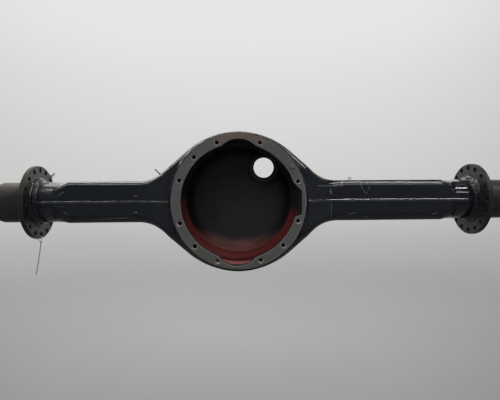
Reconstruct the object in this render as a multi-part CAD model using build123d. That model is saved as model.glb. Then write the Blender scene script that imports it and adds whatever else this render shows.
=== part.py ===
from build123d import *
import math
import os

# A drive axle housing: two pressed steel halves welded along the middle, with a machined
# ring for the carrier, a domed rear cover, two brake flanges and two wheel spindles.
# Sizes are millimetres. X runs along the axle, Y to the rear and Z up.
# The origin is the centre of the carrier bolt circle, on the machined face of the ring.

# Pressed housing halves
axle_depth = 140.0  # machined carrier face back to the axle centre line
wall = 11.0
banjo_margin = 10.0  # top of the banjo above the rim of the ring
banjo_arc = 250.0  # front outline over the banjo, flatter than a circle round the ring
arm_height = 137.0
arm_depth = 130.0
corner_radius = 26.0
shoulder_slope = 41.0  # fall of the straight shoulder, in degrees
shoulder_hollow = 150.0
front_flare_slope = 30.0
rear_flare_slope = 26.0
flare_crest = 60.0
flare_hollow = 150.0
seat_margin = 0.5  # flat part of the front and rear walls beyond the rim of the ring
rear_seat_depth = 105.0  # axle centre line back to the flat that carries the cover
tube_diameter = 134.0
transition_length = 47.0  # square arm to round end
left_round_length = 62.0  # round end up to the brake flange
right_round_length = 74.0
left_flange_reach = 663.0  # middle of the banjo to the inboard face of the flange
right_flange_reach = 799.0
front_opening_step = 8.0  # opening of the halves behind the opening of the ring

# Carrier mounting ring
ring_diameter = 427.0
ring_thickness = 22.0
ring_chamfer = 4.0
ring_opening_chamfer = 1.2
bolt_edge = 19.2  # rim of the ring to the bolt circle
opening_edge = 14.3  # bolt circle to the opening of the ring
bolt_hole_angles = (18.5, 70, 110, 135, 160, 200, 225, 250, 290, 315, 341.5)
tapped_diameter = 15.5
tapped_chamfer = 1.6
relief_radius = 72.0  # cutter of the rounded top and bottom reliefs
top_relief_depth = 14.2
bottom_relief_depth = 19.6
bottom_relief_angle = 267.6
side_relief_depth = 16.2
side_relief_up = 31.0  # flat bottom of the side pocket, above and below the axle line
side_relief_down = 41.0
side_relief_upper_angle = 18.5
side_relief_lower_angle = -16.0
relief_corner = 9.0
dowel_angle = 33.0
dowel_edge = 17.5  # rim of the ring to the centre of the dowel
dowel_diameter = 14.0
dowel_free_diameter = 12.0  # sliding end, outside the ring
dowel_height = 13.0
dowel_depth = 16.0
dowel_chamfer = 1.5
dowel_dimple = 6.0
dowel_dimple_depth = 7.0

# Rear cover with its two bosses
cover_offset_x = 2.0
cover_offset_z = 2.0
rear_opening_margin = 7.5  # flat of the rear wall outside the opening under the cover
cover_thickness = 9.5
cover_rim_width = 10.0
cover_wall_slope = 75.0
cover_rise = 60.0
cover_crown = 32.0
cover_knuckle = 34.0
output_angle = 51.6  # round the centre of the cover
output_inset = 40.4  # edge of the rear opening to the centre of the boss
output_outer_radius = 54.0
output_bore_radius = 36.25
output_seat_radius = 47.0
output_lip = 8.0
output_setback = 13.0  # rear wall of the halves back to the inner end of the boss
output_proud = 8.0  # boss above the crown beside it
output_chamfer = 2.0
fill_angle = 211.5
fill_inset = 73.0
fill_boss_diameter = 40.0
fill_boss_inside = 4.0
fill_boss_proud = 6.0

# Brake flanges and spindles
flange_diameter = 244.0
flange_thickness = 16.0
flange_chamfer = 1.5
flange_holes = 16
flange_hole_diameter = 16.5
flange_edge = 14.7  # rim of the flange to its bolt circle
joint_depth = 8.0  # spindle joint, inside the thickness of the flange
root_length = 112.0  # inboard face of the flange to the end of the thick section
root_cone_length = 22.0
seal_diameter = 120.65
seal_length = 26.0
inner_journal_diameter = 95.25
inner_journal_length = 50.0
taper_length = 34.0
outer_journal_diameter = 82.55
outer_journal_length = 42.0
thread_diameter = 80.5
thread_length = 38.0
tip_chamfer = 2.5
shoulder_fillet = 4.0
spindle_bore = 66.0
bore_cone_length = 60.0
keyway_width = 11.0
keyway_depth = 4.5
keyway_length = 34.0

# Weld beads
seam_width = 7.5
seam_proud = 1.8
seam_root = 4.0
seam_bevel = 1.5
ring_weld_leg = 7.0
cover_weld_leg = 7.0
boss_weld_leg = 6.0
inboard_weld_leg = 16.0
outboard_weld_leg = 9.0

# Plugs, breather and line staple
plug_diameter = 22.0
plug_length = 14.0
plug_head_across = 27.0
plug_head_height = 7.0
plug_socket = 9.5
plug_socket_depth = 6.0
spotface_diameter = 34.0
spotface_depth = 1.2
breather_x = -258.0
breather_lean = 136.2  # direction of the stem, seen from the front, in degrees
breather_base_diameter = 8.5
breather_base_height = 13.0
breather_stem_diameter = 5.2
breather_stem_length = 21.0
breather_bore = 2.4
staple_x = 376.5
staple_setback = -22.0
staple_wire = 3.6
staple_width = 11.7
staple_height = 9.5

# Ties left in two bolt holes of the left flange
tie_thickness = 1.7
tie_clearance = 0.3
tie_head = 7.0
tie_head_offset = -2.0  # inboard face of the flange to the middle of the head
lower_tie_width = 4.0
lower_tie_drop = 7.0  # rim of the flange to the head
lower_tie_tail = 108.0
lower_tie_lean = -18.0
upper_tie_width = 9.0
upper_tie_drop = 4.0
upper_tie_tail = 12.0
upper_tie_lean = 6.0

# Worked out from the sizes above
arm_half_height = arm_height / 2
arm_half_depth = arm_depth / 2
tube_radius = tube_diameter / 2
ring_radius = ring_diameter / 2
bolt_circle_radius = ring_radius - bolt_edge
ring_opening_radius = bolt_circle_radius - opening_edge
dowel_circle_radius = ring_radius - dowel_edge
front_opening_radius = ring_opening_radius + front_opening_step
banjo_half_height = ring_radius + banjo_margin
seat_half_width = ring_radius + seat_margin
flange_radius = flange_diameter / 2
flange_pitch_radius = flange_radius - flange_edge
front_seat_depth = axle_depth - ring_thickness
rear_seat = axle_depth + rear_seat_depth
rear_opening_radius = banjo_half_height - corner_radius - rear_opening_margin
cover_rim_radius = rear_opening_radius + cover_rim_width
left_joint = left_flange_reach + joint_depth
right_joint = right_flange_reach + joint_depth
left_box = left_flange_reach - left_round_length - transition_length
right_box = right_flange_reach - right_round_length - transition_length
far = left_flange_reach + right_flange_reach + banjo_half_height  # longer than any cut needs


def on_circle(radius, degrees, centre=(0, 0)):
    turn = math.radians(degrees)
    return (centre[0] + radius * math.cos(turn), centre[1] + radius * math.sin(turn))


def rearward(x, y, z):
    """Plane at a point, with its axis pointing to the rear."""
    return Plane((x, y, z), x_dir=(-1, 0, 0), z_dir=(0, 1, 0))


def outward(side, distance):
    """Plane across the axle line at a distance from the middle, facing that wheel."""
    return Plane((side * distance, axle_depth, 0), x_dir=(0, side, 0), z_dir=(side, 0, 0))


def rod(radius, length, start=0.0):
    return Pos(0, 0, start) * Cylinder(radius, length, align=(Align.CENTER, Align.CENTER, Align.MIN))


def turned(edges):
    """Solid turned about Z from an outline of radius and height."""
    return revolve(Plane.XZ * make_face(Wire(edges)), Axis.Z)


def turned_points(*points):
    return turned(Polyline(*points, close=True).edges())


def ring_place():
    return rearward(0, 0, 0)


def cover_place():
    return rearward(cover_offset_x, rear_seat, cover_offset_z)


def output_centre():
    distance = rear_opening_radius - output_inset
    return on_circle(distance, output_angle, (cover_offset_x, cover_offset_z))


def output_place():
    x, z = output_centre()
    return rearward(x, rear_seat + output_setback, z)


def crown_radius():
    """Radius of the inside of the domed crown of the rear cover."""
    knee = rear_opening_radius - cover_rise / math.tan(math.radians(cover_wall_slope))
    return (knee ** 2 + cover_crown ** 2) / (2 * cover_crown)


def crown_depth(x, z, shift):
    """Depth of the inside of the crown at a place moved by shift away from the cover's axis."""
    distance = math.hypot(x - cover_offset_x, z - cover_offset_z) + shift
    drop = crown_radius() - math.sqrt(crown_radius() ** 2 - distance ** 2)
    return cover_rise + cover_crown - drop


def output_length():
    crown = crown_depth(*output_centre(), -output_outer_radius)
    return crown + cover_thickness + output_proud - output_setback


def fill_centre():
    distance = rear_opening_radius - fill_inset
    return on_circle(distance, fill_angle, (cover_offset_x, cover_offset_z))


def fill_ends():
    """Depths of the inner and the outer end of the filler boss."""
    radius = fill_boss_diameter / 2
    inner_end = crown_depth(*fill_centre(), radius) - fill_boss_inside
    return inner_end, crown_depth(*fill_centre(), -radius) + cover_thickness + fill_boss_proud


def fill_place(depth):
    x, z = fill_centre()
    return rearward(x, rear_seat + depth, z)


# Pressed halves

def banjo_place(degrees, inset=0.0):
    """Place on the arc over the banjo, at an angle from its top."""
    return on_circle(banjo_arc - inset, 90 - degrees, (0, banjo_half_height - banjo_arc))


def shoulder_edges(inset, reach):
    """Front outline of one side of the upper half, from the top of the banjo out to reach."""
    half = arm_half_height - inset
    slope = math.radians(shoulder_slope)
    fall = (math.cos(slope), -math.sin(slope))
    top = banjo_place(0, inset)
    leave = banjo_place(shoulder_slope, inset)
    middle = banjo_place(shoulder_slope / 2, inset)
    corner = leave[0] + (leave[1] - half) / math.tan(slope)
    ease = (shoulder_hollow + inset) * math.tan(slope / 2)
    bend_start = (corner - ease * fall[0], half - ease * fall[1])
    bend_end = (corner + ease, half)
    return [
        ThreePointArc(top, middle, leave),
        Line(leave, bend_start),
        TangentArc(bend_start, bend_end, tangent=fall),
        Line(bend_end, (reach, half)),
    ]


def upper_front_face(inset):
    """Front outline of the upper half, flat along the axle centre line."""
    half = arm_half_height - inset
    right = shoulder_edges(inset, right_box)
    left = [edge.mirror(Plane.YZ) for edge in shoulder_edges(inset, left_box)]
    base = Polyline((right_box, half), (right_box, 0), (-left_box, 0), (-left_box, half))
    return make_face(Wire(right + left + base.edges()))


def plan_edges(side, face, inset, reach):
    """Outline of a quarter of the housing seen from above, from the middle out to reach."""
    seat, slope = (front_seat_depth, front_flare_slope) if face < 0 else (rear_seat_depth, rear_flare_slope)
    box = right_box if side > 0 else left_box
    angle = math.radians(slope)
    flat = seat_half_width - inset * math.tan(angle / 2)
    run = (seat - arm_half_depth) / math.tan(angle)
    arm = arm_half_depth - inset
    corners = [(0, seat - inset), (flat, seat - inset), (flat + run, arm), (box, arm)]
    path = FilletPolyline(
        *[(side * x, axle_depth + face * y) for x, y in corners],
        radius=[flare_crest - inset, flare_hollow + inset],
    ).edges()
    if reach > box:
        turn = (side * (box + transition_length), axle_depth + face * (tube_radius - inset))
        path += Polyline((side * box, axle_depth + face * arm), turn, (side * reach, turn[1])).edges()
    return list(path)


def plan_face(inset):
    """Outline of the square-armed part, seen from above."""
    depth = arm_half_depth - inset
    edges = []
    for side, box in ((1, right_box), (-1, left_box)):
        edges += plan_edges(side, -1, inset, box) + plan_edges(side, 1, inset, box)
        edges += [Line((side * box, axle_depth - depth), (side * box, axle_depth + depth))]
    return make_face(Wire(edges))


def across_arm(side, distance):
    return Plane((side * distance, axle_depth, 0), x_dir=(0, 1, 0), z_dir=(1, 0, 0))


def square_section(inset):
    """Rounded square section of an arm, as eight edges."""
    corner = corner_radius - inset
    edges = []
    for turn in range(4):
        sizes = (arm_half_depth - inset, arm_half_height - inset)
        wide, tall = sizes if turn % 2 == 0 else sizes[::-1]
        flat = Line((wide, corner - tall), (wide, tall - corner))
        middle = on_circle(corner, 45, (wide - corner, tall - corner))
        bend = ThreePointArc((wide, tall - corner), middle, (wide - corner, tall))
        edges += [Rot(0, 0, 90 * turn) * flat, Rot(0, 0, 90 * turn) * bend]
    return edges


def round_section(inset):
    """Circle split so that it matches the eight edges of the square section."""
    edges = []
    for step in range(8):
        points = [on_circle(tube_radius - inset, 45 * step + shift) for shift in (-22.5, 0, 22.5)]
        edges.append(ThreePointArc(*points))
    return edges


def arm_end(side, box, joint, inset):
    """Square to round transition with the round end after it."""
    square = across_arm(side, box) * Wire(square_section(inset))
    circle = across_arm(side, box + transition_length) * Wire(round_section(inset))
    transition = Solid.make_loft([square, circle], ruled=True)
    length = joint - box - transition_length
    return transition + outward(side, box + transition_length) * rod(tube_radius - inset, length)


def is_long_corner(edge):
    """True where the top web turns into the front or rear wall."""
    run = edge.end_point() - edge.start_point()
    return edge.center().Z > 1 and abs(run.X) > 0.001


def upper_body(inset):
    """Solid form of the upper half, stepped inward by inset."""
    front = extrude(Plane.XZ.offset(-axle_depth) * upper_front_face(inset), far, both=True)
    body = (front & extrude(plan_face(inset), far)).solid()
    body = fillet([edge for edge in body.edges() if is_long_corner(edge)], corner_radius - inset)
    above = Pos(0, axle_depth, 0) * Box(4 * far, far, far, align=(Align.CENTER, Align.CENTER, Align.MIN))
    ends = arm_end(1, right_box, right_joint, inset) + arm_end(-1, left_box, left_joint, inset)
    return body + (ends & above)


def pressed_half(outer, inner):
    """One pressed half, open at the carrier side, the cover side and both arm ends."""
    half = outer - inner
    half -= ring_place() * rod(front_opening_radius, axle_depth)
    return half - cover_place() * rod(rear_opening_radius, axle_depth, -axle_depth)


# Carrier mounting ring

def relief_face(depth, angle):
    """Round relief let into the ring opening to a depth."""
    return Pos(*on_circle(ring_opening_radius + depth - relief_radius, angle)) * Circle(relief_radius)


def side_relief_face():
    """Flat-bottomed pocket between the two bolt holes nearest the long arm."""
    reach = ring_opening_radius + side_relief_depth
    corners = [
        on_circle(ring_opening_radius, side_relief_lower_angle), (reach, -side_relief_down),
        (reach, side_relief_up), on_circle(ring_opening_radius, side_relief_upper_angle),
    ]
    return make_face(Polyline(*corners, close=True).edges())


def ring_opening_face():
    opening = Circle(ring_opening_radius)
    opening += relief_face(top_relief_depth, 90)
    opening += relief_face(bottom_relief_depth, bottom_relief_angle)
    opening += side_relief_face()
    return fillet(opening.vertices(), relief_corner)


def tapped_hole():
    """Cutter for a threaded hole with a countersunk mouth."""
    radius = tapped_diameter / 2
    mouth = radius + tapped_chamfer
    depth = ring_thickness
    return turned_points((0, 0), (mouth, 0), (radius, tapped_chamfer), (radius, depth), (0, depth))


def carrier_ring():
    """Machined ring that the carrier bolts to."""
    ring = ring_place() * rod(ring_radius, ring_thickness)
    ring = chamfer(ring.edges().group_by(Axis.Y)[0], ring_chamfer)
    ring -= extrude(Plane.XZ * ring_opening_face(), -ring_thickness)
    *mouth, rim = ring.edges().group_by(Axis.Y)[0].sort_by(SortBy.LENGTH)
    ring = chamfer(mouth, ring_opening_chamfer)
    for angle in bolt_hole_angles:
        x, z = on_circle(bolt_circle_radius, angle)
        ring -= rearward(x, 0, z) * tapped_hole()
    x, z = on_circle(dowel_circle_radius, dowel_angle)
    return ring - rearward(x, 0, z) * rod(dowel_diameter / 2, dowel_depth)


def carrier_dowel():
    """Locating dowel pressed into the ring, with a drilled end."""
    x, z = on_circle(dowel_circle_radius, dowel_angle)
    pressed = dowel_diameter / 2
    free = dowel_free_diameter / 2
    floor = dowel_dimple_depth - dowel_height
    return rearward(x, 0, z) * turned_points(
        (0, floor), (dowel_dimple / 2, floor), (dowel_dimple / 2, -dowel_height),
        (free - dowel_chamfer, -dowel_height), (free, dowel_chamfer - dowel_height), (free, 0),
        (pressed, 0), (pressed, dowel_depth), (0, dowel_depth),
    )


def ring_weld(outer):
    """Fillet bead round the rim of the ring, with its root under the rim."""
    flat_radius = banjo_half_height - corner_radius
    outside = ring_radius + ring_weld_leg
    shoulder = ring_thickness - ring_weld_leg
    crest = (ring_radius + 0.75 * ring_weld_leg, ring_thickness - 0.35 * ring_weld_leg)
    toe = (outside, ring_thickness + 0.5 * ring_weld_leg)
    root = ring_thickness + corner_radius
    back = Polyline(toe, (outside, root), (flat_radius, root), (flat_radius, ring_thickness))
    front = Polyline((flat_radius, ring_thickness), (ring_radius, ring_thickness), (ring_radius, shoulder))
    arc = ThreePointArc((ring_radius, shoulder), crest, toe)
    return ring_place() * turned(front.edges() + arc.edges() + back.edges()) - outer


# Rear cover

def dome_face(inset):
    """Half section of the space under the cover, as radius and depth behind the rear wall."""
    slope = math.radians(cover_wall_slope)
    base = rear_opening_radius - inset / math.sin(slope)
    knee = base - (cover_rise - inset) / math.tan(slope)
    top = cover_rise + cover_crown - inset
    radius = crown_radius() - inset
    rise = top - radius + math.sqrt(radius ** 2 - knee ** 2)
    turn = math.degrees(math.asin(knee / radius))
    middle = on_circle(radius, 90 - turn / 2, (0, top - radius))
    arc = ThreePointArc((0, top), middle, (knee, rise))
    sides = Polyline((knee, rise), (base, 0), (0, 0), (0, top))
    face = make_face(Wire(arc.edges() + sides.edges()))
    knuckle = face.vertices().sort_by_distance((knee, rise, 0))[0]
    return fillet(knuckle, cover_knuckle - inset)


def dome(inset):
    return cover_place() * revolve(Plane.XZ * dome_face(inset), Axis.Z)


def rear_cover():
    """Pressed dome with a flat rim, cut out for the output boss and the filler boss."""
    cover = cover_place() * rod(cover_rim_radius, cover_thickness) + dome(-cover_thickness)
    cover -= dome(0)
    cover -= output_place() * rod(output_outer_radius, far)
    return cover - fill_place(0) * rod(fill_boss_diameter / 2, far)


def output_boss():
    """Turned boss for the bearing of the through shaft, with a lip at its inner end."""
    length = output_length()
    return output_place() * turned_points(
        (output_bore_radius, 0), (output_outer_radius, 0), (output_outer_radius, length - output_chamfer),
        (output_outer_radius - output_chamfer, length), (output_seat_radius + output_chamfer, length),
        (output_seat_radius, length - output_chamfer), (output_seat_radius, output_lip),
        (output_bore_radius, output_lip),
    )


def fill_boss():
    """Threaded boss for the filler plug."""
    inner_end, outer_end = fill_ends()
    length = outer_end - inner_end
    return fill_place(inner_end) * (rod(fill_boss_diameter / 2, length) - rod(plug_diameter / 2, length))


def boss_weld(place, radius, cover, length):
    """Bead that follows the dome round a boss."""
    collar = place * (rod(radius + boss_weld_leg, length) - rod(radius, length))
    return (collar & dome(-cover_thickness - boss_weld_leg)) - dome(0) - cover


def cover_weld(outer):
    """Bead that joins the rim of the cover to the rear wall of the halves."""
    flat_radius = banjo_half_height - corner_radius - math.hypot(cover_offset_x, cover_offset_z)
    root_radius = min(flat_radius, cover_rim_radius)
    outside = cover_rim_radius + cover_weld_leg
    bead = cover_place() * turned_points(
        (cover_rim_radius, 0), (cover_rim_radius, cover_weld_leg), (outside, 0),
        (outside, -corner_radius), (root_radius, -corner_radius), (root_radius, 0),
    )
    return bead - outer


# Seam beads between the halves

def seam_weld(side, face, trims):
    """Bead along the joint of the halves, on the front or the rear of one arm."""
    reach = (right_flange_reach if side > 0 else left_flange_reach) - inboard_weld_leg
    outside = plan_edges(side, face, -seam_proud, reach)
    inside = plan_edges(side, face, seam_root, reach)
    ends = [Line(outside[0] @ 0, inside[0] @ 0), Line(outside[-1] @ 1, inside[-1] @ 1)]
    band = extrude(make_face(Wire(outside + inside + ends)), seam_width / 2, both=True)
    crest = [edge for edge in band.edges() if runs_over(edge, outside)]
    band = chamfer(crest, seam_bevel)
    for trim in trims:
        band -= trim
    return band


def runs_over(edge, line):
    """True for an edge of a seam bead that lies straight above or below its outer line."""
    middle = edge @ 0.5
    if abs(abs(middle.Z) - seam_width / 2) > 0.001:
        return False
    return min(piece.distance_to(Vertex(middle.X, middle.Y, 0)) for piece in line) < 0.001


# Brake flanges and spindles

def brake_flange(side, reach):
    """Disc with a full circle of bolt holes, bored for the round end of the arm."""
    disc = rod(flange_radius, flange_thickness)
    disc = chamfer(disc.edges().filter_by(GeomType.CIRCLE), flange_chamfer)
    disc -= rod(tube_radius, flange_thickness)
    hole = rod(flange_hole_diameter / 2, flange_thickness)
    for step in range(flange_holes):
        x, y = on_circle(flange_pitch_radius, 360 / flange_holes * step)
        disc -= Pos(x, y, 0) * hole
    return outward(side, reach) * disc


def inboard_weld(side, reach):
    """Two-pass bead between the arm and the inboard face of the flange."""
    leg = inboard_weld_leg
    valley = (tube_radius + 0.42 * leg, -0.42 * leg)
    low = ThreePointArc((tube_radius, -leg), (tube_radius + 0.27 * leg, -0.80 * leg), valley)
    high = ThreePointArc(valley, (tube_radius + 0.80 * leg, -0.27 * leg), (tube_radius + leg, 0))
    base = Polyline((tube_radius + leg, 0), (tube_radius, 0), (tube_radius, -leg))
    return outward(side, reach) * turned(low.edges() + high.edges() + base.edges())


def outboard_weld(side, reach):
    """Smaller fillet between the outboard face of the flange and the spindle."""
    leg = outboard_weld_leg
    arc = ThreePointArc(
        (tube_radius + leg, 0), (tube_radius + 0.4 * leg, 0.4 * leg), (tube_radius, leg)
    )
    base = Polyline((tube_radius, leg), (tube_radius, 0), (tube_radius + leg, 0))
    return outward(side, reach + flange_thickness) * turned(arc.edges() + base.edges())


def spindle(side, joint):
    """Wheel spindle: thick root, seal land, two bearing journals and a keyed, threaded tip."""
    root_end = root_length - joint_depth
    seal_start = root_end + root_cone_length
    journal_start = seal_start + seal_length
    taper_start = journal_start + inner_journal_length
    outer_start = taper_start + taper_length
    thread_start = outer_start + outer_journal_length
    tip = thread_start + thread_length
    journal = inner_journal_diameter / 2
    thread = thread_diameter / 2
    bore = spindle_bore / 2
    outline = make_face(Polyline(
        (tube_radius - wall, 0), (tube_radius, 0), (tube_radius, root_end),
        (seal_diameter / 2, seal_start), (seal_diameter / 2, journal_start),
        (journal, journal_start), (journal, taper_start), (outer_journal_diameter / 2, outer_start),
        (outer_journal_diameter / 2, thread_start), (thread, thread_start),
        (thread, tip - tip_chamfer), (thread - tip_chamfer, tip), (bore, tip),
        (bore, bore_cone_length), close=True,
    ).edges())
    shoulder = outline.vertices().sort_by_distance((journal, journal_start, 0))[0]
    body = revolve(Plane.XZ * fillet(shoulder, shoulder_fillet), Axis.Z)
    key = Box(keyway_width, 2 * keyway_depth, keyway_length, align=(Align.CENTER, Align.CENTER, Align.MAX))
    body -= Pos(0, thread, tip) * key
    return outward(side, joint) * body


# Small fittings

def pipe_plug(place):
    """Threaded plug with a hexagon head and a square socket."""
    head = extrude(RegularPolygon(plug_head_across / 2, 6, major_radius=False), plug_head_height)
    socket = Pos(0, 0, plug_head_height) * Box(
        plug_socket, plug_socket, plug_socket_depth, align=(Align.CENTER, Align.CENTER, Align.MAX)
    )
    return place * (head + rod(plug_diameter / 2, plug_length, -plug_length) - socket)


def drain_place():
    return Plane((0, axle_depth, spotface_depth - banjo_half_height), x_dir=(1, 0, 0), z_dir=(0, 0, -1))


def drain_cut():
    """Spotface and threaded hole at the lowest point of the lower half."""
    return drain_place() * (rod(spotface_diameter / 2, far) + rod(plug_diameter / 2, 2 * wall, -2 * wall))


def shoulder_height(x):
    """Height of the outside of the upper half on the hollow shoulder, at a distance x."""
    slope = math.radians(shoulder_slope)
    leave = banjo_place(shoulder_slope)
    corner = leave[0] + (leave[1] - arm_half_height) / math.tan(slope)
    bend_end = corner + shoulder_hollow * math.tan(slope / 2)
    return arm_half_height + shoulder_hollow - math.sqrt(shoulder_hollow ** 2 - (bend_end - abs(x)) ** 2)


def breather_place():
    turn = math.radians(breather_lean)
    origin = (breather_x, axle_depth, shoulder_height(breather_x))
    return Plane(origin, x_dir=(0, 1, 0), z_dir=(math.cos(turn), 0, math.sin(turn)))


def breather_shank():
    return breather_place() * rod(breather_base_diameter / 2, breather_base_height + 2 * wall, -2 * wall)


def breather(inner):
    """Vent tube screwed into the shoulder, with a thicker base."""
    body = breather_shank() - inner
    stem_start = breather_base_height
    body += breather_place() * rod(breather_stem_diameter / 2, breather_stem_length, stem_start)
    return body - breather_place() * rod(breather_bore / 2, far, -far / 2)


def line_staple():
    """Bent wire staple welded on top of the long arm."""
    half = (staple_width - staple_wire) / 2
    top = staple_height - staple_wire / 2
    legs = FilletPolyline((-half, 0), (-half, top), (half, top), (half, 0), radius=half * 0.8)
    section = Plane(legs @ 0, z_dir=legs % 0) * Circle(staple_wire / 2)
    foot = (staple_x, axle_depth + staple_setback, arm_half_height)
    return Plane(foot, x_dir=(1, 0, 0), z_dir=(0, -1, 0)) * sweep(section, legs)


def flange_tie(angle, width, drop, tail, lean):
    """Moulded tie looped through a bolt hole and round the rim of the left flange."""
    across = flange_hole_diameter / 2
    slack = width / 2 + tie_clearance
    seat = flange_pitch_radius + math.sqrt(across ** 2 - slack ** 2)
    head = flange_radius + drop
    near = tie_clearance
    away = -flange_thickness - tie_clearance
    middle = tie_head_offset
    inner = Polyline(
        (near, seat), (near, flange_radius), (middle + tie_thickness, head),
        (middle - tie_thickness, head), (away, flange_radius), (away, seat), close=True,
    )
    hole = make_face(inner.edges())
    band = offset(hole, tie_thickness) - hole
    centre = (middle, head + tie_head / 2)
    block = Pos(*centre) * Rectangle(tie_head, tie_head)
    end = (middle + lean, head + tie_head + tail)
    bow = ((centre[0] + end[0]) / 2 + tie_thickness, (centre[1] + end[1]) / 2)
    flat = band + block + trace(ThreePointArc(centre, bow, end), tie_thickness)
    turn = math.radians(angle)
    radial = Vector(0, math.cos(turn), math.sin(turn))
    origin = (-left_flange_reach, axle_depth, 0)
    plane = Plane(origin, x_dir=(1, 0, 0), z_dir=Vector(1, 0, 0).cross(radial))
    return extrude(plane * flat, width / 2, both=True)


def build_parts():
    """Every piece of the housing, by name."""
    upper_outer = upper_body(0)
    lower_outer = upper_outer.mirror(Plane.XY)
    upper_inner = upper_body(wall)
    outer = [upper_outer, lower_outer]
    parts = {
        "carrier_ring": carrier_ring(),
        "carrier_dowel": carrier_dowel(),
        "ring_weld": ring_weld(outer),
        "rear_cover": rear_cover(),
        "cover_weld": cover_weld(outer),
        "output_boss": output_boss(),
        "fill_boss": fill_boss(),
        "fill_plug": pipe_plug(fill_place(fill_ends()[1])),
        "drain_plug": pipe_plug(drain_place()),
        "breather": breather(upper_inner),
        "line_staple": line_staple(),
        "lower_flange_tie": flange_tie(
            270, lower_tie_width, lower_tie_drop, lower_tie_tail, lower_tie_lean
        ),
        "upper_flange_tie": flange_tie(
            45, upper_tie_width, upper_tie_drop, upper_tie_tail, upper_tie_lean
        ),
    }
    cover = parts["rear_cover"]
    parts["output_boss_weld"] = boss_weld(output_place(), output_outer_radius, cover, output_length())
    parts["fill_boss_weld"] = boss_weld(fill_place(0), fill_boss_diameter / 2, cover, fill_ends()[1])

    seams = []
    for name, face in (("front", -1), ("rear", 1)):
        weld = parts["ring_weld"] if face < 0 else parts["cover_weld"]
        middle = ring_place() * rod(ring_radius, axle_depth)
        if face > 0:
            middle = cover_place() * rod(cover_rim_radius, axle_depth, -axle_depth / 2)
        for hand, side in (("left", -1), ("right", 1)):
            seam = seam_weld(side, face, [middle, weld])
            parts[f"seam_weld_{name}_{hand}"] = seam
            seams.append(seam)

    upper = pressed_half(upper_outer, upper_inner) - seams
    lower = pressed_half(lower_outer, upper_inner.mirror(Plane.XY)) - seams
    parts["upper_shell_half"] = upper - breather_shank()
    parts["lower_shell_half"] = lower - drain_cut()

    sides = (("left", -1, left_flange_reach, left_joint), ("right", 1, right_flange_reach, right_joint))
    for hand, side, reach, joint in sides:
        parts[f"{hand}_brake_flange"] = brake_flange(side, reach)
        parts[f"{hand}_inboard_weld"] = inboard_weld(side, reach)
        parts[f"{hand}_outboard_weld"] = outboard_weld(side, reach)
        parts[f"{hand}_spindle"] = spindle(side, joint)
    return parts


if __name__ == "__main__":
    os.makedirs("parts", exist_ok=True)
    for name, part in build_parts().items():
        export_step(part, f"parts/{name}.step")
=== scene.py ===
# %% [markdown]
# # A pressed steel axle housing
# The pressings, the ring, the flanges and the spindles come from the CAD model and stay as they
# are. This lesson dresses them: it puts gloss black paint on the pressings, dull machined steel on
# the ring, a rust film on the spindles and red primer inside. It also models what is too fine for
# CAD: the ripples of the weld beads, and the threads.

# %% Load the frame
import math

import bmesh
import bpy
from mathutils import Matrix, Vector, noise


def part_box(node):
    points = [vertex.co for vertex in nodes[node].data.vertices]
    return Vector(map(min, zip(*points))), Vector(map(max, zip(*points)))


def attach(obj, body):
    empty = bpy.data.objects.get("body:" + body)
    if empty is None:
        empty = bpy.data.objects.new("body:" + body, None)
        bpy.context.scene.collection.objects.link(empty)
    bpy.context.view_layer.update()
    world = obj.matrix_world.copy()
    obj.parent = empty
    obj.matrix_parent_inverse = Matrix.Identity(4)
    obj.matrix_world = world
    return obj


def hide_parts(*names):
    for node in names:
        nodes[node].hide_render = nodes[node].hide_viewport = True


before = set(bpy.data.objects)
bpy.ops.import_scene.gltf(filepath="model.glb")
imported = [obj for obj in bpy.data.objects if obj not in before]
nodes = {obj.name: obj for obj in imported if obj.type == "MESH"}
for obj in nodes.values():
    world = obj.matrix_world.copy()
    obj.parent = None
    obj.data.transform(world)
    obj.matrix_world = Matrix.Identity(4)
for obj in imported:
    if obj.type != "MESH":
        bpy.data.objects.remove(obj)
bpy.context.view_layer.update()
print("CAD pieces:", len(nodes))

# %% [markdown]
# ## Places that several cells use
# The CAD frame has its origin at the centre of the ring, on the machined face. The axle line runs
# along X at a known depth behind it. Lengths are metres, because that is what Blender holds. Each
# place here is measured from a CAD piece.

# %% Places
MM = 0.001
ring_low, ring_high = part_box("carrier_ring")
RING_RADIUS = (ring_high.x - ring_low.x) / 2
RING_BACK = ring_high.y
spindle_low, spindle_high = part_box("right_spindle")
AXLE = Vector((0, (spindle_low.y + spindle_high.y) / 2, 0))
left_flange_low, left_flange_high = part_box("left_brake_flange")
FLANGE_RADIUS = (left_flange_high.z - left_flange_low.z) / 2
cover_low, cover_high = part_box("rear_cover")
cover_x = (cover_low.x + cover_high.x) / 2
cover_z = (cover_low.z + cover_high.z) / 2
COVER_CENTRE = Vector((cover_x, cover_low.y, cover_z))
print("axle depth", round(AXLE.y, 4), "ring radius", round(RING_RADIUS, 4))

# %% [markdown]
# ## Shader maths that reads like arithmetic
# A material is a graph of nodes. Wiring each Math node by hand is slow to write and slower to read,
# so a small class wraps a socket: adding or multiplying two of them puts in the Math node. Most
# patterns here are masks, which go from 0 to 1, and rise and band make them.

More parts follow.
